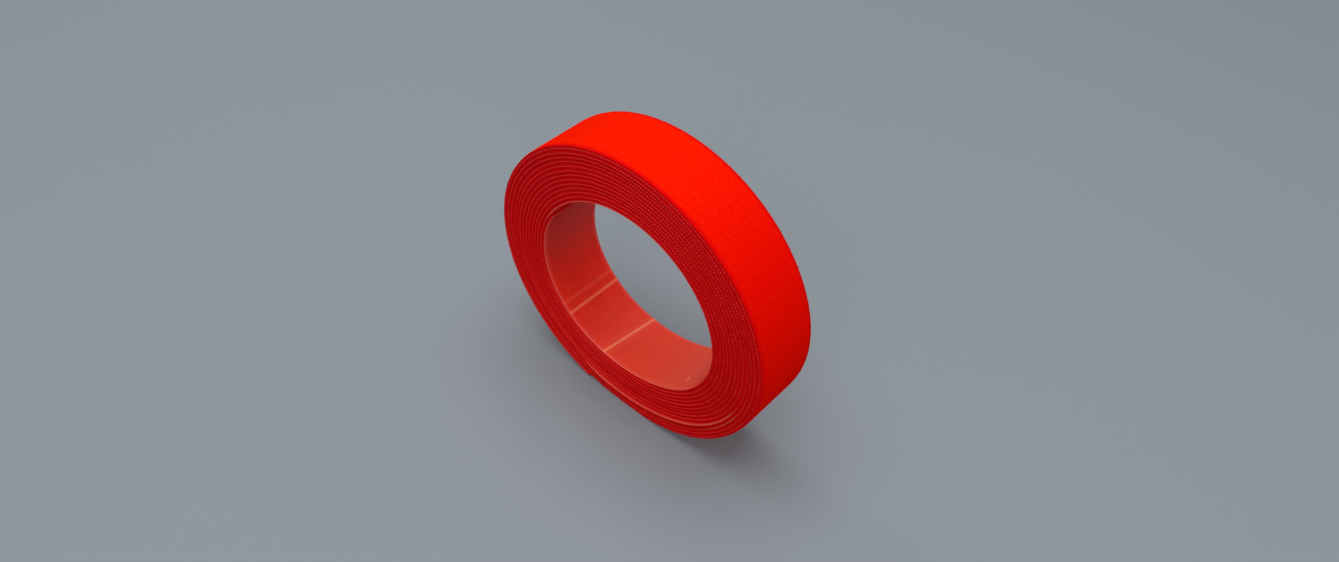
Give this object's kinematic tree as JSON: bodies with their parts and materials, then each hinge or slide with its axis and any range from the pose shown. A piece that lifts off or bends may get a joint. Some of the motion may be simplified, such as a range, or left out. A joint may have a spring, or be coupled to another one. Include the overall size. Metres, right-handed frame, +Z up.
{
  "type": "hook and loop tape roll",
  "caption": "Coreless roll of double-sided hook and loop tape, standing on its edge on a small flat foot, with an open bore and a free outer end that peels away.",
  "frame": {"origin": "on the floor, at the middle of the flat foot under the roll's axis and of the tape's width", "axes": "+Z up; +Y along the roll's axis, away from the side face that the picture shows; +X to the right as seen from that side"},
  "size_m": [0.1181, 0.025, 0.113],
  "materials": {
    "loop_fabric": "brushed knitted loop pile, bright red, no gloss",
    "hook_film": "moulded micro-hook film, satin, a paler red",
    "bond": "adhesive layer between the webs, deep red"
  },
  "bodies": {
    "roll": {"hook_web": "hook_film", "bond_film": "bond", "loop_web": "loop_fabric"},
    "tail_1": {"tail_1_hook_web": "hook_film", "tail_1_bond_film": "bond", "tail_1_loop_web": "loop_fabric"},
    "tail_2": {"tail_2_hook_web": "hook_film", "tail_2_bond_film": "bond", "tail_2_loop_web": "loop_fabric"},
    "tail_3": {"tail_3_hook_web": "hook_film", "tail_3_bond_film": "bond", "tail_3_loop_web": "loop_fabric"},
    "tail_4": {"tail_4_hook_web": "hook_film", "tail_4_bond_film": "bond", "tail_4_loop_web": "loop_fabric"},
    "tail_5": {"tail_5_hook_web": "hook_film", "tail_5_bond_film": "bond", "tail_5_loop_web": "loop_fabric"},
    "tail_6": {"tail_6_hook_web": "hook_film", "tail_6_bond_film": "bond", "tail_6_loop_web": "loop_fabric"},
    "tail_7": {"tail_7_hook_web": "hook_film", "tail_7_bond_film": "bond", "tail_7_loop_web": "loop_fabric"},
    "tail_8": {"tail_8_hook_web": "hook_film", "tail_8_bond_film": "bond", "tail_8_loop_web": "loop_fabric"},
    "tail_9": {"tail_9_hook_web": "hook_film", "tail_9_bond_film": "bond", "tail_9_loop_web": "loop_fabric"},
    "tail_10": {"tail_10_hook_web": "hook_film", "tail_10_bond_film": "bond", "tail_10_loop_web": "loop_fabric"}
  },
  "joints": [
    {"name": "peel_1", "type": "hinge", "parent": "roll", "child": "tail_1", "pos_m": [-0.05957, 0, 0.05221], "axis": [0, 1, 0], "range_deg": [0, 15]},
    {"name": "peel_2", "type": "hinge", "parent": "tail_1", "child": "tail_2", "pos_m": [-0.0592, 0, 0.04524], "axis": [0, 1, 0], "range_deg": [0, 15]},
    {"name": "peel_3", "type": "hinge", "parent": "tail_2", "child": "tail_3", "pos_m": [-0.05792, 0, 0.03834], "axis": [0, 1, 0], "range_deg": [0, 15]},
    {"name": "peel_4", "type": "hinge", "parent": "tail_3", "child": "tail_4", "pos_m": [-0.05571, 0, 0.03165], "axis": [0, 1, 0], "range_deg": [0, 15]},
    {"name": "peel_5", "type": "hinge", "parent": "tail_4", "child": "tail_5", "pos_m": [-0.0526, 0, 0.02531], "axis": [0, 1, 0], "range_deg": [0, 15]},
    {"name": "peel_6", "type": "hinge", "parent": "tail_5", "child": "tail_6", "pos_m": [-0.04866, 0, 0.01945], "axis": [0, 1, 0], "range_deg": [0, 15]},
    {"name": "peel_7", "type": "hinge", "parent": "tail_6", "child": "tail_7", "pos_m": [-0.04398, 0, 0.01418], "axis": [0, 1, 0], "range_deg": [0, 15]},
    {"name": "peel_8", "type": "hinge", "parent": "tail_7", "child": "tail_8", "pos_m": [-0.03866, 0, 0.0096], "axis": [0, 1, 0], "range_deg": [0, 15]},
    {"name": "peel_9", "type": "hinge", "parent": "tail_8", "child": "tail_9", "pos_m": [-0.03283, 0, 0.00576], "axis": [0, 1, 0], "range_deg": [0, 15]},
    {"name": "peel_10", "type": "hinge", "parent": "tail_9", "child": "tail_10", "pos_m": [-0.02662, 0, 0.00268], "axis": [0, 1, 0], "range_deg": [0, 15]}
  ],
  "couplings": [
    {"joint": "peel_2", "follows": "peel_1", "ratio": 1},
    {"joint": "peel_3", "follows": "peel_1", "ratio": 1},
    {"joint": "peel_4", "follows": "peel_1", "ratio": 1},
    {"joint": "peel_5", "follows": "peel_1", "ratio": 1},
    {"joint": "peel_6", "follows": "peel_1", "ratio": 1},
    {"joint": "peel_7", "follows": "peel_1", "ratio": 1},
    {"joint": "peel_8", "follows": "peel_1", "ratio": 1},
    {"joint": "peel_9", "follows": "peel_1", "ratio": 1},
    {"joint": "peel_10", "follows": "peel_1", "ratio": 1}
  ]
}
